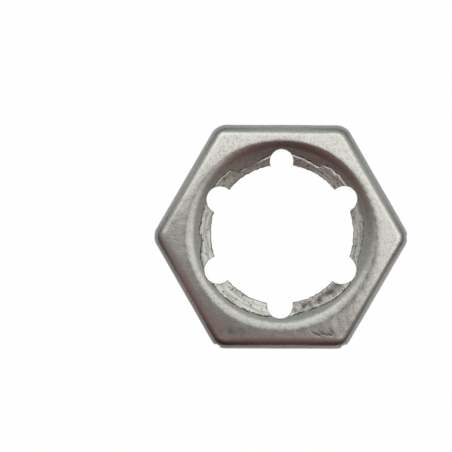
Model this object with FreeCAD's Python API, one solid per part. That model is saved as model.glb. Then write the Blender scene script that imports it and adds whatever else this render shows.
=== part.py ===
import FreeCAD, Part
import math
import os

# A self-locking nut pressed from one piece of sheet steel. A hexagonal plate carries six
# flaps folded down along its sides. Its middle is dished and slotted into six tongues, and
# the tongue tips bite the bolt's thread along one turn of a right-hand helix.
# The flat bearing face looks up, and the nut stands on the crowns of its flaps at height 0.

# Driving sizes, in millimetres and degrees
sheet_thickness = 1.0
thread_diameter = 16.0
thread_pitch = 2.0

# Tongues
thread_bite = 0.53
tongue_reach = 1.275
tongue_count = 6
tongue_root_thickness = 0.8
tongue_tip_thickness = 0.55
tongue_lap = 0.1
tip_depth = 1.95
tip_corner_round = 0.25
tongue_spread = 0.93
slot_radius = 1.5
slot_past_crease = 0.31

# Dished collar between the plate and the tongues
collar_angle = 43.0
collar_straight = 0.5
collar_inner_bend = 0.6

# Plate and folded flaps
side_count = 6
land_width = 0.598
fold_inner_bend = 0.2
corner_round = 1.8
flap_height = 3.65
crown_rise = 1.55
slit_gap = 0.12
slit_start = 1.0
slit_flare = 30.0

# Sizes worked out from the ones above
tip_radius = thread_diameter / 2 - thread_bite
crease_radius = tip_radius + tongue_reach
slope = math.radians(collar_angle)
half_flare = math.radians(slit_flare / 2)
collar_outer_bend = collar_inner_bend + sheet_thickness
dish_radius = crease_radius + collar_straight * math.cos(slope) + collar_outer_bend * math.sin(slope)
fold_outer_bend = fold_inner_bend + sheet_thickness
half_flats = dish_radius + land_width + fold_outer_bend
half_flats_inside = half_flats - sheet_thickness
half_side_angle = math.pi / side_count
flap_half_length = half_flats_inside * math.tan(half_side_angle)
overall_height = flap_height + crown_rise
slot_centre_radius = crease_radius + slot_past_crease - slot_radius
step_angle = 360.0 / tongue_count
side_angle = 360.0 / side_count
past = sheet_thickness
hair = 1e-4
origin = FreeCAD.Vector(0, 0, 0)
upward = FreeCAD.Vector(0, 0, 1)


def hexagonal_block(half_width, low, high):
    """A plain hexagonal block with corners on the X axis."""
    corner_radius = half_width / math.cos(half_side_angle)
    corners = []
    for number in range(side_count + 1):
        angle = 2 * number * half_side_angle
        corners.append(FreeCAD.Vector(corner_radius * math.cos(angle), corner_radius * math.sin(angle), low))
    outline = Part.makePolygon(corners)
    return Part.Face(outline).extrude(FreeCAD.Vector(0, 0, high - low))


def round_corners(block, radius):
    """The block with its upright edges rounded."""
    upright = [edge for edge in block.Edges if abs(edge.Vertexes[0].Z - edge.Vertexes[1].Z) > past / 2]
    return block.makeFillet(radius, upright)


def round_upper_rim(block, radius):
    """The block with the edges round its upper face rounded."""
    top = block.BoundBox.ZMax - hair
    rim = [edge for edge in block.Edges if min(vertex.Z for vertex in edge.Vertexes) > top]
    return block.makeFillet(radius, rim)


def folded_cup():
    """The plate and the folded walls at their full height, as one cup of even thickness."""
    outside = round_corners(hexagonal_block(half_flats, 0, overall_height), corner_round)
    outside = round_upper_rim(outside, fold_outer_bend)
    inside = hexagonal_block(half_flats_inside, -past, overall_height - sheet_thickness)
    inside = round_upper_rim(inside, fold_inner_bend)
    dish_hole = Part.makeCylinder(dish_radius, overall_height + past)
    return outside.cut(inside).cut(dish_hole)


def section_point(radius, height):
    """A point of a section through the axis, in the plane of X and Z."""
    return FreeCAD.Vector(radius, 0, height)


def collar():
    """The dished collar, a section of even thickness turned about the axis.

    It comes with the two points of its section where the tongues take root in its lower end.
    """
    bend_height = overall_height - collar_outer_bend
    top_start = section_point(dish_radius, overall_height)
    under_start = section_point(dish_radius, overall_height - sheet_thickness)
    across = FreeCAD.Vector(math.sin(slope), 0, -math.cos(slope))
    down = FreeCAD.Vector(-math.cos(slope), 0, -math.sin(slope))
    bend_centre = section_point(dish_radius, bend_height)
    half_way = FreeCAD.Vector(-math.sin(slope / 2), 0, math.cos(slope / 2))
    top_bend_end = bend_centre - across * collar_outer_bend
    under_bend_end = bend_centre - across * collar_inner_bend
    top_end = top_bend_end + down * collar_straight
    under_end = under_bend_end + down * collar_straight
    edges = [
        Part.Arc(top_start, bend_centre + half_way * collar_outer_bend, top_bend_end).toShape(),
        Part.makeLine(top_bend_end, top_end),
        Part.makeLine(top_end, under_end),
        Part.makeLine(under_end, under_bend_end),
        Part.Arc(under_bend_end, bend_centre + half_way * collar_inner_bend, under_start).toShape(),
        Part.makeLine(under_start, top_start),
    ]
    section = Part.Face(Part.Wire(edges))
    root = (top_end + under_end) * 0.5
    heel = under_end - (across + down) * tongue_lap
    return section.revolve(origin, upward, 360), root, heel


def tongue_section(angle, root, heel):
    """A tongue's section at one angle. Its tip lies on the thread's helix at that angle.

    The heel fills the outside of the bend between the collar and the tongue.
    """
    middle_angle = (tongue_count - 1) * step_angle / 2
    helix_rise = thread_pitch * (angle - middle_angle) / 360
    tip = section_point(tip_radius, overall_height - tip_depth + helix_rise)
    reach = (tip - root) * (1 + tongue_tip_thickness / tongue_reach)
    end = root + reach
    along = FreeCAD.Vector(reach)
    along.normalize()
    across = FreeCAD.Vector(along.z, 0, -along.x)
    half_root = tongue_root_thickness / 2
    half_tip = tongue_tip_thickness / 2
    corners = [
        root + across * half_root,
        end + FreeCAD.Vector(0, 0, half_tip),
        end - FreeCAD.Vector(0, 0, half_tip),
        root - across * half_root,
        heel,
    ]
    outline = Part.makePolygon(corners + corners[:1])
    outline.rotate(origin, upward, angle)
    return outline


def tongue(number, root, heel):
    """One tongue, lofted from sections that climb with the thread's helix."""
    sections = []
    for part in (-1, -0.5, 0, 0.5, 1):
        angle = (number + part / 2 * tongue_spread) * step_angle
        sections.append(tongue_section(angle, root, heel))
    return Part.makeLoft(sections, True)


def slot(number):
    """The round slot between two tongues."""
    centre = section_point(slot_centre_radius, 0)
    drill = Part.makeCylinder(slot_radius, overall_height + past, centre)
    drill.rotate(origin, upward, (number + 0.5) * step_angle)
    return drill


def round_tip_corners(inner):
    """The upright edges where the slots meet the circle of the tongue tips, rounded."""
    edges = []
    for edge in inner.Edges:
        first, last = edge.Vertexes[0].Point, edge.Vertexes[-1].Point
        upright = math.hypot(first.x - last.x, first.y - last.y) < hair < abs(first.z - last.z)
        if upright and abs(math.hypot(first.x, first.y) - tip_radius) < hair:
            edges.append(edge)
    return inner.makeFillet(tip_corner_round, edges)


def corner_slit(number):
    """The open V between two flaps. Its sides start at the inner corner of the cup."""
    inner_corner = half_flats_inside / math.cos(half_side_angle)
    outer_corner = half_flats / math.cos(half_side_angle) + past
    start = inner_corner - sheet_thickness
    half_gap = slit_gap / 2
    half_mouth = half_gap + (outer_corner - inner_corner) * math.tan(half_flare)
    outline = [
        FreeCAD.Vector(start, -half_gap, -past),
        FreeCAD.Vector(inner_corner, -half_gap, -past),
        FreeCAD.Vector(outer_corner, -half_mouth, -past),
        FreeCAD.Vector(outer_corner, half_mouth, -past),
        FreeCAD.Vector(inner_corner, half_gap, -past),
        FreeCAD.Vector(start, half_gap, -past),
    ]
    wedge = Part.Face(Part.makePolygon(outline + outline[:1]))
    wedge = wedge.extrude(FreeCAD.Vector(0, 0, overall_height - slit_start + past))
    wedge.rotate(origin, upward, number * side_angle)
    return wedge


def crown_cut(number):
    """What is trimmed off below one flap, so that its free edge is a crowned arc."""
    half_length = flap_half_length + sheet_thickness / 2
    crown_radius = (flap_half_length ** 2 + crown_rise ** 2) / (2 * crown_rise)
    band_start = half_flats_inside - sheet_thickness / 2
    band = 2 * sheet_thickness
    block = Part.makeBox(
        2 * half_length, band, crown_rise + past, FreeCAD.Vector(-half_length, band_start, -past)
    )
    keep = Part.makeCylinder(
        crown_radius, band, FreeCAD.Vector(0, band_start, crown_radius), FreeCAD.Vector(0, 1, 0)
    )
    trimmed = block.cut(keep)
    trimmed.rotate(origin, upward, number * side_angle)
    return trimmed


def lock_nut():
    """The whole nut as one solid."""
    ring, root, heel = collar()
    tongues = [tongue(number, root, heel) for number in range(tongue_count)]
    inner = ring.fuse(tongues)
    slots = [slot(number) for number in range(tongue_count)]
    bore = Part.makeCylinder(tip_radius, overall_height + past)
    inner = round_tip_corners(inner.cut(slots + [bore]))
    slits = [corner_slit(number) for number in range(side_count)]
    crowns = [crown_cut(number) for number in range(side_count)]
    cup = folded_cup().cut(slits + crowns)
    return cup.fuse(inner).removeSplitter()


os.makedirs("parts", exist_ok=True)
nut = lock_nut()
nut.exportStep("parts/lock_nut.step")
print("solids", len(nut.Solids), "valid", nut.isValid(), "volume", round(nut.Volume, 2))
print("across flats", round(2 * half_flats, 3), "height", overall_height)
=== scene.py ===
import math

import bpy
import numpy as np
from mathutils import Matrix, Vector


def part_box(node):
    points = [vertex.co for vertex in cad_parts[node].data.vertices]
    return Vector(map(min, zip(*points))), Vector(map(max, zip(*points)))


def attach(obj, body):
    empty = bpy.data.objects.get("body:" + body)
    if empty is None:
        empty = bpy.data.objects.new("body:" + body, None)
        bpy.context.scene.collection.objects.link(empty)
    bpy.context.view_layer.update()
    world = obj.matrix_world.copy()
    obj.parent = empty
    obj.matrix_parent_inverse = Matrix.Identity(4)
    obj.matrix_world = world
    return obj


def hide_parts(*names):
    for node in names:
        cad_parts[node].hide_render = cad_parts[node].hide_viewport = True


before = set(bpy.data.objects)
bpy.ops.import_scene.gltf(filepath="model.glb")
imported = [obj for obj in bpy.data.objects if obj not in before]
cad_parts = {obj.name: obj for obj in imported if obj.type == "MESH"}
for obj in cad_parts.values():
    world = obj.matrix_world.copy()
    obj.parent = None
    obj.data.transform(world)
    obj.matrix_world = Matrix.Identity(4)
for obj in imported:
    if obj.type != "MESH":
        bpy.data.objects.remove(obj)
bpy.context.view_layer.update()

mm = 0.001

# The lock nut: one pressing of stainless sheet, 24 mm across flats. It is blanked, its middle is
# dished and slotted into six tongues, and its rim is folded down into six flaps. The tumbled face
# is matt, the folded walls are burnished by the die, and the sheared tongue tips are left rough.
high_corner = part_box("lock_nut")[1]
height = high_corner.z / mm
half_flats = high_corner.y / mm
sheet = 1.0
pitch = 2.0
tip_radius = 7.47
tip_depth = 1.95
tongue_reach = 1.275
tongue_root = 0.8
tongue_tip = 0.55
collar_slope = math.radians(43.0)
dish_bend = 1.6
dish_radius = 10.2
fold_bend = 1.2
corner_round = 1.8
crown_rise = 1.55
slit_half_gap = 0.06
slit_half_flare = math.radians(15.0)
slit_starts = np.array([0.78, 1.0, 1.0, 1.0, 0.64, 0.66])
crease_radius = tip_radius + tongue_reach
sector = math.pi / 3

# The skin is a grid: its columns run once round the nut, an equal number on each side of the hexagon.
# An outline is first walked with many points for each column, so that its corners can be eased.
columns_in_sector = 144
columns = 6 * columns_in_sector
points_in_column = 16

# What the press left of the even plan: each tongue's own tip radius, each slot's own radius, distance
# and turn, and the ragged ledge where each tongue tore from the collar, as degrees round the nut and
# radius.
tip_radii = np.array([7.70, 7.36, 7.31, 7.58, 7.64, 7.49])
slot_radii = np.array([1.37, 1.25, 1.44, 1.44, 1.36, 1.55])
slot_centres = np.array([7.645, 7.715, 7.495, 7.885, 7.785, 7.525])
slot_turns = np.radians([-1.2, 0.3, 1.8, 0.4, -1.1, -1.0])
ledge_points = np.array([
    (-23, 8.68), (-17, 8.61), (-3, 8.70), (8, 8.76), (15, 8.60), (23, 8.70), (38, 8.53), (45, 8.66),
    (48, 8.58), (53, 8.63), (57, 8.50), (58.5, 8.42), (60.5, 8.06), (63, 8.06), (70, 8.18), (76, 8.30),
    (84, 8.44), (96, 8.43), (103, 8.18), (110, 7.95), (118, 7.88), (126, 7.95), (128, 8.30),
    (130, 8.60), (140, 8.70), (146, 8.63), (158, 8.75), (167, 8.73), (172, 8.70), (177, 8.80),
    (181, 8.82), (183, 8.58), (188, 8.58), (191, 8.78), (195, 8.98), (204, 9.10), (215, 9.13),
    (235, 9.13), (245, 9.08), (262, 9.02), (274, 8.99), (281, 8.76), (288, 8.71), (294, 8.74),
    (299, 8.78), (304, 8.89), (309, 8.98), (323, 9.10),
])
side_straight = (half_flats - corner_round) * math.tan(sector / 2)
side_half = side_straight + corner_round * sector / 2
fold_length = fold_bend * math.pi / 2
under_fold = fold_bend - sheet

# How far corners and edges are eased, the heel under the tongues, and the circle clear of the slots
tip_ease = 0.07
edge_ease = 0.1
edge_round = 0.1
ledge_ease = 0.08
heel_radius = 9.15
heel_width = 0.3
clear_radius = 9.45

# The bearing face falls off a little outside the dish's crest, and the hole sits off the middle.
dome_start = 10.15
dome_slope = 0.095
dome_ease = 0.3
hole_shift = np.array([0.08, 0.39])


def running_mean(rows, spread):
    """Closed curves, as an array (points, axes), eased by a bell-shaped running mean of that spread."""
    waves = np.fft.rfftfreq(len(rows))
    kept = np.exp(-2 * (math.pi * waves * spread) ** 2)
    return np.fft.irfft(np.fft.rfft(rows, axis=0) * kept[:, None], len(rows), axis=0)


def chance_field(points, wave, seed, waves=48):
    """Chance waviness of about unit height: a sum of plane waves of one length and any direction."""
    chance = np.random.default_rng(seed)
    direction = chance.normal(size=(waves, 3))
    direction /= np.linalg.norm(direction, axis=1)[:, None]
    number = 2 * math.pi / (wave * chance.uniform(0.7, 1.5, waves))
    phase = chance.uniform(0, 2 * math.pi, waves)
    total = np.cos(points.reshape(-1, 3) @ (direction * number[:, None]).T + phase).sum(1)
    return (total * math.sqrt(2 / waves)).reshape(points.shape[:-1])


def opening_outline():
    """The opening seen from above: arcs of the tongue tips joined by the arcs of six round slots.

    Each sixth runs from the middle of one tongue to the middle of the next. It is walked at an even
    speed, and the corners are eased by a running mean.
    """
    tips = np.stack([tip_radii, np.roll(tip_radii, -1)])[..., None]
    centre = slot_centres[:, None]
    round_slot = slot_radii[:, None]
    lean = slot_turns[:, None]
    mouth = np.arccos((tips**2 + centre**2 - round_slot**2) / (2 * tips * centre))
    turn = np.arctan2(tips * np.sin(mouth), tips * np.cos(mouth) - centre)
    slot_start = (sector / 2 + lean - mouth[0]) * tips[0]
    slot_stop = slot_start + (turn[0] + turn[1]) * round_slot
    length = slot_stop + (sector / 2 - lean - mouth[1]) * tips[1]
    steps = columns_in_sector * points_in_column
    at = np.arange(steps) / steps * length
    bent = (at - slot_start) / round_slot - turn[0]
    slot_x = centre + round_slot * np.cos(bent)
    slot_y = round_slot * np.sin(bent)
    radius = np.hypot(slot_x, slot_y)
    angle = sector / 2 + lean + np.arctan2(slot_y, slot_x)
    radius = np.where(at < slot_start, tips[0], radius)
    radius = np.where(at > slot_stop, tips[1], radius)
    angle = np.where(at < slot_start, at / tips[0], angle)
    angle = np.where(at > slot_stop, sector - (length - at) / tips[1], angle)
    angles = (angle + np.arange(6)[:, None] * sector).ravel()
    outline = np.stack([radius.ravel() * np.cos(angles), radius.ravel() * np.sin(angles)], 1)
    return running_mean(outline, tip_ease / length.mean() * steps)[::points_in_column]


def collar_height(radius, bend):
    """Height of a face of the collar: level plate, a round bend of that radius, then a straight cone."""
    bend_width = bend * math.sin(collar_slope)
    inward = np.clip(dish_radius - radius, 0, bend_width)
    round_part = height - dish_bend + np.sqrt(bend**2 - inward**2)
    return round_part - np.clip(dish_radius - bend_width - radius, 0, None) * math.tan(collar_slope)


def tongue_height(radius, angle, half_root, half_tip):
    """Height of a tongue's face: straight from its root in the collar to its tip on the thread's helix."""
    root_radius = crease_radius + sheet / 2 * math.sin(collar_slope)
    root_height = collar_height(crease_radius, dish_bend) - sheet / 2 * math.cos(collar_slope)
    turn = (angle + sector / 2) % (2 * math.pi) - sector / 2
    tip_height = height - tip_depth + pitch * (turn / (2 * math.pi) - 5 / 12)
    slope = (tip_height + half_tip - root_height - half_root) / (tip_radius - root_radius)
    return root_height + half_root + slope * (radius - root_radius)


def dish_top(plan):
    """Height of the dish's upper face: the collar down to the ledge, then the tongue's torn face."""
    radius = np.hypot(plan[..., 0], plan[..., 1])
    angle = np.arctan2(plan[..., 1], plan[..., 0])
    collar = collar_height(radius, dish_bend)
    tongue = tongue_height(radius, angle, tongue_root / 2, tongue_tip / 2)
    share = np.clip((ledge_radius(plan) - radius) / ledge_ease + 0.5, 0, 1)
    return collar + (tongue - collar) * share * share * (3 - 2 * share)


def dish_under(plan):
    """Height of the dish's lower face: the collar's, passing into the tongue's over the heel between."""
    radius = np.hypot(plan[..., 0], plan[..., 1])
    angle = np.arctan2(plan[..., 1], plan[..., 0])
    collar = collar_height(radius, dish_bend - sheet)
    tongue = tongue_height(radius, angle, -tongue_root / 2, -tongue_tip / 2)
    share = np.clip((radius - heel_radius) / heel_width, 0, 1)
    return tongue + (collar - tongue) * share * share * (3 - 2 * share)


def ledge_radius(plan):
    """Radius of the ragged ledge where the tongues tore: set by the way round, and a little by chance."""
    degrees = np.degrees(np.arctan2(plan[..., 1], plan[..., 0]))
    flat = np.stack([plan[..., 0], plan[..., 1], np.zeros(plan.shape[:-1])], -1)
    even = np.interp(degrees, ledge_points[:, 0], ledge_points[:, 1], period=360)
    return even + 0.02 * chance_field(flat, 0.5, 22)


def rim_point(way, inset, level):
    """Points of the hexagon's outline, drawn in by an inset. The way counts the sides since angle 0."""
    side = np.floor(way)
    sigma = (way - side - 0.5) * 2 * side_half
    bent = np.clip(np.abs(sigma) - side_straight, 0, None) / corner_round
    round_now = corner_round - inset
    along = np.sign(sigma) * (np.minimum(np.abs(sigma), side_straight) + round_now * np.sin(bent))
    out = half_flats - corner_round + round_now * np.cos(bent)
    facing = (side + 0.5) * sector
    x = out * np.cos(facing) - along * np.sin(facing)
    y = out * np.sin(facing) + along * np.cos(facing)
    return np.stack([x, y, np.broadcast_to(level, x.shape)], -1)


def fold_surface(way, depth, bend, start_inset, start_level):
    """Points of a folded face: a quarter bend down from its start, then a straight wall.

    The depth is the arc length down the bend and the wall.
    """
    turn = np.clip(depth / bend, 0, math.pi / 2)
    inset = start_inset - bend * np.sin(turn)
    level = start_level - bend * (1 - np.cos(turn)) - np.clip(depth - bend * math.pi / 2, 0, None)
    return rim_point(way, inset, level)


def flap_end_turn(round_now):
    """How far round the corner's bend a flap reaches, up to the slit's side.

    The slit's side starts at the inner corner and leans away by half the flare.
    """
    to_inner = (corner_round - sheet) / math.cos(sector / 2)
    side = slit_half_gap * math.cos(slit_half_flare) - to_inner * math.sin(slit_half_flare)
    turn = slit_half_flare + math.asin(side / round_now)
    return sector / 2 - max(turn, math.asin(slit_half_gap / round_now))


def flap_edge():
    """The free edge of the flaps on their outer face, as the way round and the depth down the fold.

    Each side runs along the top of a slit, down the end of the flap, along the crown's arc, and back up.
    """
    crown_half = (half_flats - sheet) * math.tan(sector / 2)
    crown_radius = (crown_half**2 + crown_rise**2) / (2 * crown_rise)
    top_depth = fold_bend * np.arccos(1 - slit_starts[:, None] / fold_bend)
    end_sigma = side_straight + corner_round * flap_end_turn(corner_round)
    end_along = side_straight + corner_round * math.sin(flap_end_turn(corner_round))
    wall_depth = fold_length + height - fold_bend
    end_depth = wall_depth - crown_radius + math.sqrt(crown_radius**2 - end_along**2)
    steps = columns_in_sector * points_in_column // 2
    slit_stop = side_half - end_sigma
    end_stop = slit_stop + end_depth - top_depth
    at = np.arange(steps) / steps * (end_stop + end_along)
    depth = top_depth + np.clip(at - slit_stop, 0, end_depth - top_depth)
    sigma = side_half - np.minimum(at, slit_stop)
    sigma = np.where(at > end_stop, end_sigma * (1 - (at - end_stop) / end_along), sigma)
    level = crown_radius - np.sqrt(crown_radius**2 - np.minimum(sigma, end_along) ** 2)
    depth = np.where(at > end_stop, wall_depth - level, depth)
    ahead = [1, 2, 3, 4, 5, 0]
    sigma = np.hstack([-sigma, np.zeros((6, 1)), sigma[ahead, :0:-1]])
    depth = np.hstack([depth, np.full((6, 1), wall_depth), depth[ahead, :0:-1]])
    side = np.arange(6)[:, None]
    way = (side + 0.5 + sigma / (2 * side_half)).ravel()
    trend = np.arange(len(way)) / len(way) * 6
    loop = np.stack([(way - trend) * 2 * side_half, depth.ravel()], 1)
    spread = edge_ease / (2 * (end_stop.mean() + end_along)) * columns_in_sector * points_in_column
    loop = running_mean(loop, spread)
    return (loop[:, 0] / (2 * side_half) + trend)[::points_in_column], loop[::points_in_column, 1]


def between(first, last, steps, start=0.0, end=1.0):
    """Rows from one row of values to another, evenly from the start share to the end share of the way."""
    share = np.linspace(start, end, steps).reshape((steps,) + (1,) * np.ndim(first))
    return first + (last - first) * share


def eased_edge(before, edge, after, steps):
    """Rows round an edge: a parabola that leaves the first face and meets the second without a corner."""
    share = np.linspace(0, 1, steps + 2)[1:-1, None, None]
    return (1 - share) ** 2 * before + 2 * share * (1 - share) * edge + share**2 * after


opening = opening_outline()
opening_way = np.roll(opening, -1, axis=0) - np.roll(opening, 1, axis=0)
opening_way /= np.linalg.norm(opening_way, axis=1)[:, None]
opening_out = np.stack([opening_way[:, 1], -opening_way[:, 0]], 1)
torn = chance_field(np.column_stack([opening, np.zeros(columns)]), 0.5, 11)
tongue_number = np.round(np.arctan2(opening[:, 1], opening[:, 0]) / sector).astype(int) % 6
on_tips = np.clip((tip_radii[tongue_number] - np.hypot(opening[:, 0], opening[:, 1])) / 0.1 + 1.5, 0, 1)
opening = opening + opening_out * (torn * (0.006 + 0.014 * on_tips))[:, None]
column_angle = np.arange(columns) / columns * 2 * math.pi
spoke = np.stack([np.cos(column_angle), np.sin(column_angle)], 1)
slot_clear = spoke * clear_radius
dish_border = spoke * dish_radius
edge_way, edge_depth = flap_edge()

# Along each side of the fold's border the columns stand close together near the corners.
key_columns = np.array([0, 0.05, 0.36, 0.5]) * columns_in_sector
key_sigma = np.array([side_half, side_straight + 0.45, 4.1, 0])
half_columns = np.arange(columns_in_sector)
half_columns = np.minimum(half_columns, columns_in_sector - half_columns)
fold_sigma = np.interp(half_columns, key_columns, key_sigma)
fold_sigma = np.where(np.arange(columns_in_sector) < columns_in_sector / 2, -fold_sigma, fold_sigma)
fold_way = (np.arange(6)[:, None] + 0.5 + fold_sigma / (2 * side_half)).ravel()
at_corner = np.arange(columns) % columns_in_sector == 0
fold_way = np.where(at_corner, np.arange(columns) / columns_in_sector, fold_way)
fold_border = rim_point(fold_way, fold_bend, height)[:, :2]


def dish_rows(level_of, shares, counts):
    """Rows of one face of the dish, from the opening out to the fold's border."""
    short = np.linalg.norm(slot_clear - opening, axis=1)[:, None]
    start = opening + (slot_clear - opening) * edge_round / short
    plan = np.concatenate([
        start + (slot_clear - start) * shares[..., None],
        between(slot_clear, dish_border, counts[0])[:-1],
        between(dish_border, fold_border, counts[1]),
    ])
    return np.dstack([plan, level_of(plan)]), np.column_stack([opening, level_of(opening)])


# The rows of the dish's upper face crowd together where they cross the ledge.
open_radius = np.hypot(opening[:, 0], opening[:, 1])
ledge_share = (ledge_radius(opening) - open_radius) / (clear_radius - open_radius)
near = np.clip(ledge_share - 0.1, 0.3, 1)
far = np.clip(ledge_share + 0.1, 0.5, 1)
at_opening = np.zeros(columns)
at_circle = np.ones(columns)
top_shares = np.concatenate([
    between(at_opening, near, 9)[:-1],
    between(near, far, 11)[:-1],
    between(far, at_circle, 9)[:-1],
])
top_rows, top_edge = dish_rows(dish_top, top_shares, (16, 8))
under_rows, under_edge = dish_rows(dish_under, between(at_opening, at_circle, 9)[:-1], (6, 3))

outer_share = np.linspace(0, 1, 24)[1:, None]
outer_way = fold_way + (edge_way - fold_way) * outer_share
outer_depth = (edge_depth - edge_round) * outer_share
outer_rows = fold_surface(outer_way, outer_depth, fold_bend, fold_bend, height)
outer_edge = fold_surface(edge_way, edge_depth, fold_bend, fold_bend, height)

# The flaps' inner edge faces the outer one straight across the sheet. Higher up, where the slits end
# in the fold, it rises to just below the plate's underside.
level_part = 3.2
inner_top = height - sheet - 0.15
side_number = np.floor(edge_way)
edge_sigma = (edge_way - side_number - 0.5) * 2 * side_half
edge_bent = np.clip(np.abs(edge_sigma) - side_straight, 0, None) / corner_round
end_bents = [flap_end_turn(corner_round), flap_end_turn(corner_round - sheet)]
inner_bent = np.interp(edge_bent, [0, end_bents[0], sector / 2], [0, end_bents[1], sector / 2])
inner_sigma = np.minimum(np.abs(edge_sigma), side_straight) + corner_round * inner_bent
inner_way = side_number + 0.5 + np.sign(edge_sigma) * inner_sigma / (2 * side_half)
inner_way = np.where(edge_way == side_number, edge_way, inner_way)
slit_top = height - slit_starts.max()
inner_level = np.interp(outer_edge[:, 2], [level_part, slit_top], [level_part, inner_top])
inner_level = np.where(outer_edge[:, 2] < level_part, outer_edge[:, 2], inner_level)
inner_turn = np.arccos(np.clip(1 - (height - sheet - inner_level) / under_fold, 0, 1))
inner_depth = under_fold * inner_turn + np.clip(height - sheet - under_fold - inner_level, 0, None)
inner_share = np.linspace(1, 0, 9)[:-1, None]
inner_rows = fold_surface(
    fold_way + (inner_way - fold_way) * inner_share,
    np.clip(inner_depth - edge_round, 0.05, None) * inner_share,
    under_fold,
    fold_bend,
    height - sheet,
)
inner_edge = fold_surface(inner_way, inner_depth, under_fold, fold_bend, height - sheet)
across = inner_edge - outer_edge
across_length = np.linalg.norm(across, axis=1)[:, None]
face_start = outer_edge + across * edge_round / across_length
face_end = inner_edge - across * edge_round / across_length
drop = top_edge - under_edge
drop_length = np.linalg.norm(drop, axis=1)[:, None]
wall_start = under_edge + drop * np.minimum(edge_round / drop_length, 0.4)
wall_end = top_edge - drop * np.minimum(edge_round / drop_length, 0.4)

# The skin is one closed section carried round the nut: over the dish, down the outside, round the free
# edge, up the inside, back along the underside and up the bore.
parts = [
    ("dish", top_rows),
    ("outside", outer_rows),
    ("edge", eased_edge(outer_rows[-1], outer_edge, face_start, 3)),
    ("edge", between(face_start, face_end, 4)),
    ("edge", eased_edge(face_end, inner_edge, inner_rows[0], 2)),
    ("inside", inner_rows),
    ("under", under_rows[::-1]),
    ("bore", eased_edge(under_rows[0], under_edge, wall_start, 2)),
    ("bore", between(wall_start, wall_end, 5)),
    ("bore", eased_edge(wall_end, top_edge, top_rows[0], 3)),
]
skin = np.concatenate([rows for name, rows in parts])
part_of_row = np.concatenate([[name] * len(rows) for name, rows in parts])
plan_before = skin[..., :2].copy()
skin_radius = np.hypot(skin[..., 0], skin[..., 1])
beyond_crest = np.clip(skin_radius - dome_start, 0, None)
lowered = dome_slope * (beyond_crest - dome_ease * (1 - np.exp(-beyond_crest / dome_ease)))
skin[..., 2] -= lowered * skin[..., 2] / height


def skin_normals(points):
    """Outward normals of the closed skin, from the differences to the next rows and columns."""
    along = np.roll(points, -1, axis=1) - np.roll(points, 1, axis=1)
    onward = np.roll(points, -1, axis=0) - np.roll(points, 1, axis=0)
    normal = np.cross(onward, along)
    return normal / np.maximum(np.linalg.norm(normal, axis=-1, keepdims=True), 1e-9)


def bell(away, width):
    """A mask that is 1 where the distance away is 0 and falls off as a bell of that width."""
    return np.exp(-((away / width) ** 2))


def closed_mesh(name, points):
    """A mesh from a grid of points that closes on itself both ways."""
    rows, count = points.shape[:2]
    index = np.arange(rows * count).reshape(rows, count)
    ahead = np.roll(index, -1, axis=1)
    above = np.roll(index, -1, axis=0)
    faces = np.stack([index, above, np.roll(above, -1, axis=1), ahead], -1).reshape(-1, 4)
    mesh = bpy.data.meshes.new(name)
    mesh.vertices.add(rows * count)
    mesh.vertices.foreach_set("co", (points * mm).astype(np.float32).ravel())
    mesh.loops.add(faces.size)
    mesh.loops.foreach_set("vertex_index", faces.astype(np.int32).ravel())
    mesh.polygons.add(len(faces))
    mesh.polygons.foreach_set("loop_start", np.arange(0, faces.size, 4, dtype=np.int32))
    mesh.polygons.foreach_set("loop_total", np.full(len(faces), 4, dtype=np.int32))
    mesh.update(calc_edges=True)
    mesh.validate()
    mesh.shade_smooth()
    return mesh


# The hole sits 0.4 mm off the middle of the hexagon, as the press left it. The dish's crest bulges a
# little toward the corners.
shift_outside = 10.8
shift_inside = 9.4
moved = np.clip((shift_outside - skin_radius) / (shift_outside - shift_inside), 0, 1)
skin[..., :2] += (moved * moved * (3 - 2 * moved))[..., None] * hole_shift
way_round = np.arctan2(plan_before[..., 1], plan_before[..., 0])
pulled = 0.006 * np.cos(6 * way_round) * bell(skin_radius - 10.1, 0.5)
skin[..., :2] += plan_before * pulled[..., None]

# The torn zone inside the ledges, rough on its face and along the tips.
is_top = (part_of_row == "dish")[:, None]
is_bore = (part_of_row == "bore")[:, None]
is_edge = (part_of_row == "edge")[:, None]
torn_share = np.clip((ledge_radius(plan_before) - skin_radius) / 0.08 + 0.5, 0, 1)
shear = np.where(is_top, torn_share, 0)
shear = np.where(is_bore, 1, shear)
shear = np.where(is_edge, 0.6, shear)

# Along the ledges the sheet is cracked, and the crack is darkened with painted shade and some grime. On
# the two upper tongues a burr stands beside the crack, curled up by the punch in short pieces, with a
# second one further down a tongue. Just outside the burrs a painted shadow lies on the collar.
degrees_round = np.degrees(way_round) % 360


def along_arcs(arcs):
    """A mask of the ways round, in degrees: 1 inside each arc, fading over a degree at its ends."""
    inside = [np.minimum(degrees_round - first, last - degrees_round) for first, last in arcs]
    return np.clip(np.max(inside, 0) + 0.5, 0, 1)


from_ledge = skin_radius - ledge_radius(plan_before)
uneven = 0.75 + 0.35 * chance_field(np.dstack([plan_before, np.zeros(skin_radius.shape)]), 0.8, 41)
burr_height = 0.075
burr_arcs = [(39, 57), (61, 84), (96, 109), (118, 126), (130, 146)]
ledge_shade_arcs = [(0, 24), (157, 205), (210, 265), (272, 328), (337, 360)]
burr_shadow_arcs = [(40, 84), (96, 106), (122, 146)]
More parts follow.
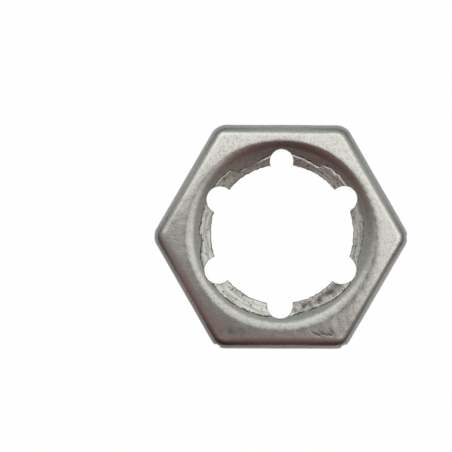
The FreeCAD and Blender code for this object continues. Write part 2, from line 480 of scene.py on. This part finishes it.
# This mask shapes the burrs, and in the steel it also paints their highlight.
burr_and_highlight = bell(from_ledge + 0.02, 0.065) * along_arcs(burr_arcs)
burr_and_highlight = np.maximum(burr_and_highlight, bell(skin_radius - 8.0, 0.05) * along_arcs([(42, 59)]))
burr_and_highlight = np.where(is_top, burr_and_highlight * np.clip(uneven, 0, 1.2), 0)
skin[..., 2] += burr_height * burr_and_highlight
ledge_shade_and_grime = bell(from_ledge, 0.05) * along_arcs(ledge_shade_arcs)
burr_shadow = bell(from_ledge - 0.12, 0.06) * along_arcs(burr_shadow_arcs)
ledge_shade_and_grime = np.where(is_top, np.clip(ledge_shade_and_grime + burr_shadow, 0, 1) * np.clip(uneven, 0.4, 1), 0)
rim = np.where(is_bore, 1.0, 0.0) + np.zeros(skin_radius.shape)

# The folded walls: the die drew them over its edge and burnished them down to the free edge. Their
# colour is also darkened with painted shade, for the darker surroundings they reflect.
wall_zone_top = 3.55
shaded_fold_top = height - 0.28
is_outside = (part_of_row == "outside")[:, None]
burnished_and_shaded = np.where(is_outside, np.clip((wall_zone_top - skin[..., 2]) / 0.15 + 0.5, 0, 1), 0)
shaded_fold = np.where(is_outside, np.clip((shaded_fold_top - skin[..., 2]) / 0.12, 0, 1), 0)

# Handling marks, a smudge and the waviness of a tumbled pressing.
dents = (
    (3.7, -10.35), (4.1, -10.5), (4.45, -10.3), (4.8, -10.55), (5.2, -10.4), (5.45, -10.15),
)
chance = np.random.default_rng(5)
scuff = np.zeros(skin_radius.shape)
relief = 0.005 * chance_field(skin, 4.0, 31) + 0.0022 * chance_field(skin, 1.3, 32)
relief += 0.0012 * chance_field(skin, 0.6, 33)
relief += shear * 0.006 * chance_field(skin, 0.34, 34, 96)
for dent_x, dent_y in dents:
    turn = chance.uniform(0, math.pi)
    long = chance.uniform(0.12, 0.3)
    away_x = skin[..., 0] - dent_x
    away_y = skin[..., 1] - dent_y
    across_dent = (away_x * math.cos(turn) + away_y * math.sin(turn)) / long
    along_dent = (away_y * math.cos(turn) - away_x * math.sin(turn)) / 0.13
    dent = np.where(is_top, bell(across_dent, 1) * bell(along_dent, 1), 0)
    relief -= 0.02 * dent
    scuff = np.maximum(scuff, dent)
smudge = bell(skin[..., 0] + 5.0, 1.7) * bell(skin[..., 1] + 10.05, 0.4)
smudge *= np.clip(0.5 + 0.5 * chance_field(skin, 0.9, 42), 0, 1)
scuff = np.maximum(scuff, np.where(is_top, 0.5 * smudge, 0))
normals = skin_normals(skin)
skin = skin + normals * np.minimum(relief - 0.012, 0)[..., None]

# A dark speckled ring runs round the dish's crest, strongest on the right. Along the fold's start a bright
# line is partly polish from tumbling and partly a painted highlight, weakest toward the soft box. One
# tongue is grimy.
nut_mesh = closed_mesh("lock_nut_skin", skin)
dished = np.where(is_top, np.clip((10.2 - skin_radius) / 0.25, 0, 1), 0)
ring = bell(skin_radius - 10.25, 0.25) * (0.6 + 0.3 * np.cos(way_round))
ring = np.where(is_top, ring * np.clip(uneven, 0.5, 1.1), 0)
worn_and_highlight = np.zeros(skin_radius.shape)
worn_and_highlight[part_of_row == "outside"] = bell(outer_depth - 0.12, 0.16)
worn_and_highlight *= np.clip(0.9 - 0.5 * np.cos(way_round - 1.0), 0, 1)
grime = bell(skin_radius - 8.15, 0.4) * along_arcs([(279, 326)]) * np.clip(uneven, 0.2, 1.1)
grime = np.where(is_top, grime, 0)
own_values = {
    "burnished_and_shaded": burnished_and_shaded, "shaded_fold": shaded_fold, "shear": shear, "dished": dished, "ledge_shade_and_grime": ledge_shade_and_grime, "rim": rim,
    "scuff": scuff, "ring": ring, "worn_and_highlight": worn_and_highlight, "grime": grime, "burr_and_highlight": np.clip(burr_and_highlight, 0, 1),
}
for name, values in own_values.items():
    attribute = nut_mesh.attributes.new(name, "FLOAT", "POINT")
    attribute.data.foreach_set("value", values.astype(np.float32).ravel())
round_place = np.dstack([skin_radius, ((degrees_round + 150) % 360) * 0.15, skin[..., 2]])
attribute = nut_mesh.attributes.new("round_place", "FLOAT_VECTOR", "POINT")
attribute.data.foreach_set("vector", round_place.astype(np.float32).ravel())
nut = bpy.data.objects.new("lock_nut_skin", nut_mesh)
bpy.context.scene.collection.objects.link(nut)
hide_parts("lock_nut")
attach(nut, "root")

# The steel: bare stainless, warm grey, with the fine dark pits of tumbling on the face, coarser
# grain on the sheared tips and faint draw marks down the burnished walls.
steel = bpy.data.materials.new("pressed_steel")
steel.use_nodes = True
nodes = steel.node_tree.nodes
links = steel.node_tree.links
shader = nodes["Principled BSDF"]
shader.inputs["Metallic"].default_value = 1.0
place = nodes.new("ShaderNodeTexCoord")


def mask(name):
    """The values of one of the mesh's own attributes."""
    node = nodes.new("ShaderNodeAttribute")
    node.attribute_name = name
    return node.outputs["Fac"]


def grain(size, detail=2.0, stretch=(1, 1, 1)):
    """Noise whose lumps are about that many millimetres across."""
    spread = nodes.new("ShaderNodeMapping")
    spread.inputs["Scale"].default_value = stretch
    links.new(place.outputs["Object"], spread.inputs["Vector"])
    noise = nodes.new("ShaderNodeTexNoise")
    noise.inputs["Scale"].default_value = 0.5 / (size * mm)
    noise.inputs["Detail"].default_value = detail
    links.new(spread.outputs["Vector"], noise.inputs["Vector"])
    return noise.outputs["Fac"]


def round_streaks(size):
    """Noise drawn out round the nut's axis, in streaks about that many millimetres wide."""
    around = nodes.new("ShaderNodeAttribute")
    around.attribute_name = "round_place"
    spread = nodes.new("ShaderNodeMapping")
    spread.inputs["Scale"].default_value = (1, 0.1, 0.3)
    links.new(around.outputs["Vector"], spread.inputs["Vector"])
    noise = nodes.new("ShaderNodeTexNoise")
    noise.inputs["Scale"].default_value = 0.5 / size
    noise.inputs["Detail"].default_value = 2.0
    links.new(spread.outputs["Vector"], noise.inputs["Vector"])
    return noise.outputs["Fac"]


def ranged(value, low, high, to_low=0.0, to_high=1.0):
    """A value taken from one range to another, and held inside it."""
    node = nodes.new("ShaderNodeMapRange")
    node.inputs["From Min"].default_value = low
    node.inputs["From Max"].default_value = high
    node.inputs["To Min"].default_value = to_low
    node.inputs["To Max"].default_value = to_high
    links.new(value, node.inputs["Value"])
    return node.outputs["Result"]


def worked(operation, first, second):
    """Two values put together by one operation. Either may be a plain number."""
    node = nodes.new("ShaderNodeMath")
    node.operation = operation
    for socket, value in zip(node.inputs, (first, second)):
        if isinstance(value, (int, float)):
            socket.default_value = value
        else:
            links.new(value, socket)
    return node.outputs["Value"]


def mixed(share, first, second):
    """Two colours mixed by a share."""
    node = nodes.new("ShaderNodeMix")
    node.data_type = "RGBA"
    links.new(share, node.inputs["Factor"])
    for socket, value in ((node.inputs[6], first), (node.inputs[7], second)):
        if isinstance(value, tuple):
            socket.default_value = (*value, 1)
        else:
            links.new(value, socket)
    return node.outputs[2]


# Each zone of the pressing has its own colour: the tumbled face, the dish, the folds, the burnished
# walls and the torn tongues, the folds and walls darkened with painted shade. The marks lie over them.
on_walls = mask("burnished_and_shaded")
on_folds = mask("shaded_fold")
on_tears = mask("shear")
in_dish = mask("dished")
fine_pits = ranged(grain(0.10, 2.0), 0.34, 0.50)
clouds = ranged(grain(1.6, 3.0), 0.35, 0.65)
face_colour = mixed(fine_pits, (0.46, 0.45, 0.43), (0.60, 0.59, 0.565))
face_colour = mixed(ranged(clouds, 0, 1, 0.0, 0.25), face_colour, (0.50, 0.485, 0.46))
dish_colour = mixed(fine_pits, (0.42, 0.41, 0.39), (0.54, 0.53, 0.505))
shaded_fold_colour = mixed(fine_pits, (0.235, 0.23, 0.22), (0.30, 0.295, 0.285))
shaded_wall_colour = mixed(grain(0.3, 2.0, (1, 1, 0.06)), (0.25, 0.245, 0.235), (0.31, 0.305, 0.295))
streaky = ranged(round_streaks(0.12), 0.42, 0.60)
tip_pits = ranged(grain(0.14, 3.0), 0.33, 0.42)
tip_colour = mixed(ranged(streaky, 0, 1, 0.0, 0.7), (0.80, 0.78, 0.745), (0.44, 0.42, 0.39))
tip_colour = mixed(ranged(mask("grime"), 0, 1, 0.0, 1.0), tip_colour, (0.18, 0.16, 0.148))
tip_colour = mixed(tip_pits, (0.18, 0.17, 0.16), tip_colour)
colour = mixed(in_dish, face_colour, dish_colour)
ring_colour = mixed(fine_pits, (0.16, 0.17, 0.16), (0.30, 0.31, 0.29))
colour = mixed(ranged(mask("ring"), 0, 1, 0.0, 0.9), colour, ring_colour)
# Along the fold's start: polish from tumbling and a painted highlight.
colour = mixed(mask("worn_and_highlight"), colour, (0.72, 0.71, 0.68))
colour = mixed(on_folds, colour, shaded_fold_colour)
colour = mixed(on_walls, colour, shaded_wall_colour)
colour = mixed(on_tears, colour, tip_colour)
colour = mixed(ranged(mask("scuff"), 0.05, 0.8, 0.0, 0.9), colour, (0.17, 0.17, 0.16))
colour = mixed(ranged(mask("rim"), 0, 1, 0.0, 0.8), colour, (0.14, 0.135, 0.13))

# The walls at the lower left are darkened with painted shade, for the nut's shadow on the table they
# reflect.
toward_shaded_side = nodes.new("ShaderNodeVectorMath")
toward_shaded_side.operation = "DOT_PRODUCT"
toward_shaded_side.inputs[1].default_value = (-0.5, -0.866, 0)
links.new(place.outputs["Object"], toward_shaded_side.inputs[0])
shaded_lower_left = ranged(toward_shaded_side.outputs["Value"], 5 * mm, 9 * mm)
shaded_lower_left = worked("MULTIPLY", shaded_lower_left, worked("MAXIMUM", on_walls, on_folds))
colour = mixed(ranged(shaded_lower_left, 0, 1, 0.0, 0.6), colour, (0.11, 0.10, 0.096))

# The upper part of the dish is darkened brown with painted shade. The cracks are painted black inside,
# painted shade with some grime, and the burrs are fresh metal lightened to a painted highlight.
toward_top = nodes.new("ShaderNodeVectorMath")
toward_top.operation = "DOT_PRODUCT"
toward_top.inputs[1].default_value = (0.17, 0.985, 0)
links.new(place.outputs["Object"], toward_top.inputs[0])
shaded_upper_dish = ranged(toward_top.outputs["Value"], 3 * mm, 8 * mm)
shaded_upper_dish = worked("MULTIPLY", shaded_upper_dish, worked("MULTIPLY", in_dish, worked("SUBTRACT", 1.0, on_tears)))
colour = mixed(ranged(shaded_upper_dish, 0, 1, 0.0, 0.25), colour, (0.32, 0.25, 0.235))
colour = mixed(mask("ledge_shade_and_grime"), colour, (0.03, 0.026, 0.022))
colour = mixed(mask("burr_and_highlight"), colour, (0.88, 0.86, 0.82))
links.new(colour, shader.inputs["Base Color"])


def blended(share, first, second):
    """Two values mixed by a share. Either may be a plain number."""
    node = nodes.new("ShaderNodeMix")
    links.new(share, node.inputs["Factor"])
    for socket, value in ((node.inputs[2], first), (node.inputs[3], second)):
        if isinstance(value, (int, float)):
            socket.default_value = value
        else:
            links.new(value, socket)
    return node.outputs[0]


face_rough = ranged(fine_pits, 0, 1, 0.30, 0.235)
wall_rough = ranged(grain(0.5, 2.0), 0.3, 0.7, 0.20, 0.28)
rough = blended(in_dish, face_rough, 0.34)
rough = blended(on_walls, rough, wall_rough)
rough = blended(on_tears, rough, 0.50)
rough = blended(mask("ledge_shade_and_grime"), rough, 0.8)
links.new(rough, shader.inputs["Roughness"])

# The relief too fine for the mesh: tumbling pits, torn streaks on the tips and draw marks on the walls
face_relief = worked("ADD", grain(0.10, 2.0), worked("MULTIPLY", grain(0.35, 2.0), 0.8))
tip_relief = worked("ADD", grain(0.16, 3.0), worked("MULTIPLY", round_streaks(0.12), 0.7))
tip_relief = worked("MULTIPLY", tip_relief, worked("MULTIPLY", on_tears, 1.6))
streaks = worked("MULTIPLY", grain(0.12, 2.0, (1, 1, 0.04)), worked("MULTIPLY", on_walls, 0.6))
calm = worked("SUBTRACT", 1.0, worked("MULTIPLY", worked("MAXIMUM", on_walls, in_dish), 0.6))
relief_height = worked("ADD", worked("MULTIPLY", face_relief, calm), worked("ADD", tip_relief, streaks))
bump = nodes.new("ShaderNodeBump")
bump.inputs["Strength"].default_value = 0.3
bump.inputs["Distance"].default_value = 0.02 * mm
links.new(relief_height, bump.inputs["Height"])
links.new(bump.outputs["Normal"], shader.inputs["Normal"])
nut_mesh.materials.append(steel)

# The table: matt white paper laid flat under the nut, far larger than the view. The camera and
# reflections see it as an even white with a trace of the nut's shadow, and it lights the nut as paper.
half_table = 2.0
corners = [
    (-half_table, -half_table, 0),
    (half_table, -half_table, 0),
    (half_table, half_table, 0),
    (-half_table, half_table, 0),
]
floor_mesh = bpy.data.meshes.new("floor")
floor_mesh.from_pydata(corners, [], [(0, 1, 2, 3)])
floor = bpy.data.objects.new("floor", floor_mesh)
bpy.context.scene.collection.objects.link(floor)
paper = bpy.data.materials.new("white_table")
paper.use_nodes = True
paper_nodes = paper.node_tree.nodes
paper_links = paper.node_tree.links
paper_shader = paper_nodes["Principled BSDF"]
paper_shader.inputs["Base Color"].default_value = (0.9, 0.9, 0.9, 1)
paper_shader.inputs["Roughness"].default_value = 0.9
rays = paper_nodes.new("ShaderNodeLightPath")
camera_or_glossy = paper_nodes.new("ShaderNodeMath")
camera_or_glossy.operation = "MAXIMUM"
paper_links.new(rays.outputs["Is Camera Ray"], camera_or_glossy.inputs[0])
paper_links.new(rays.outputs["Is Glossy Ray"], camera_or_glossy.inputs[1])
any_seen = paper_nodes.new("ShaderNodeMath")
any_seen.operation = "MAXIMUM"
paper_links.new(camera_or_glossy.outputs[0], any_seen.inputs[0])
paper_links.new(rays.outputs["Is Transmission Ray"], any_seen.inputs[1])
glow_share = paper_nodes.new("ShaderNodeMath")
glow_share.operation = "MULTIPLY"
glow_share.inputs[1].default_value = 0.99
paper_links.new(any_seen.outputs[0], glow_share.inputs[0])
glow = paper_nodes.new("ShaderNodeEmission")
glow.inputs["Strength"].default_value = 1.0
paper_or_glow = paper_nodes.new("ShaderNodeMixShader")
paper_links.new(glow_share.outputs[0], paper_or_glow.inputs["Fac"])
paper_links.new(paper_shader.outputs[0], paper_or_glow.inputs[1])
paper_links.new(glow.outputs[0], paper_or_glow.inputs[2])
paper_links.new(paper_or_glow.outputs[0], paper_nodes["Material Output"].inputs["Surface"])
floor_mesh.materials.append(paper)

# The studio: one large soft box overhead, which reaches from straight above to 35 degrees off on the
# upper right. It is put together from three rectangles that leave a notch for the camera.
light_turn = math.radians(62)
to_light = Vector((math.cos(light_turn), math.sin(light_turn), 0))
beside = Vector((-math.sin(light_turn), math.cos(light_turn), 0))
box_height = 0.8
box_radiance = 0.87


def soft_box(name, start, end, left, right):
    """One rectangle of the soft box, from its start to its end toward the light and from side to side."""
    data = bpy.data.lights.new(name, "AREA")
    data.shape = "RECTANGLE"
    data.size = end - start
    data.size_y = right - left
    data.energy = box_radiance * math.pi * data.size * data.size_y
    data.color = (1.0, 0.985, 0.95)
    lamp = bpy.data.objects.new(name, data)
    lamp.location = to_light * (start + end) / 2 + beside * (left + right) / 2 + Vector((0, 0, box_height))
    lamp.rotation_euler = (0, 0, light_turn)
    bpy.context.scene.collection.objects.link(lamp)


soft_box("soft_box", 0.08, 0.57, -0.95, 0.83)
soft_box("soft_box_left", -0.065, 0.08, -0.95, -0.10)
soft_box("soft_box_right", -0.044, 0.08, 0.10, 0.83)

# The room round the soft box: pale and greenish low on the far side, falling to a dark brown opposite.
room_turn = math.radians(79)
room_level = 0.94
room_drop = -0.34
world = bpy.data.worlds.new("studio")
bpy.context.scene.world = world
world.use_nodes = True
world_nodes = world.node_tree.nodes
world_links = world.node_tree.links
background = world_nodes["Background"]
way_in = world_nodes.new("ShaderNodeTexCoord")
toward = world_nodes.new("ShaderNodeVectorMath")
toward.operation = "DOT_PRODUCT"
far_side = (room_level * math.cos(room_turn), room_level * math.sin(room_turn), room_drop)
toward.inputs[1].default_value = far_side
world_links.new(way_in.outputs["Generated"], toward.inputs[0])
centred = world_nodes.new("ShaderNodeMath")
centred.operation = "MULTIPLY_ADD"
centred.inputs[1].default_value = 0.5
centred.inputs[2].default_value = 0.5
world_links.new(toward.outputs["Value"], centred.inputs[0])
room = world_nodes.new("ShaderNodeValToRGB")
world_links.new(centred.outputs["Value"], room.inputs["Fac"])
room_tints = (
    (0.01, (0.115, 0.066, 0.060)),
    (0.10, (0.20, 0.122, 0.112)),
    (0.18, (0.28, 0.200, 0.186)),
    (0.30, (0.25, 0.248, 0.235)),
    (0.40, (0.44, 0.450, 0.430)),
    (0.65, (0.51, 0.555, 0.520)),
)
while len(room.color_ramp.elements) < len(room_tints):
    room.color_ramp.elements.new(1.0)
for stop, (position, tint) in zip(room.color_ramp.elements, room_tints):
    stop.position = position
    stop.color = (*tint, 1)
world_links.new(room.outputs["Color"], background.inputs["Color"])

# The camera looks straight down from 250 mm. The scale holds at the foot of the folds, 1.5 mm below
# the face, and the nut's middle is at pixel (280.9, 236.8) of a picture 452 pixels wide.
pixels = 452
nut_pixel_x = 280.9
nut_pixel_y = 236.8
pixels_per_mm = 9.33
camera_height = 250.0
scale_level = height - 1.5
camera_data = bpy.data.cameras.new("camera")
camera_data.sensor_width = 36.0
camera_data.lens = camera_data.sensor_width * pixels_per_mm * (camera_height - scale_level) / pixels
camera_data.clip_start = 0.01
camera_data.shift_x = (pixels / 2 - nut_pixel_x) / pixels
camera_data.shift_y = (nut_pixel_y - pixels / 2) / pixels
camera = bpy.data.objects.new("camera", camera_data)
camera.location = (0, 0, camera_height * mm)
camera.rotation_euler = (0, 0, math.radians(0.2))
bpy.context.scene.collection.objects.link(camera)
bpy.context.scene.camera = camera
bpy.context.scene.view_settings.view_transform = "Standard"
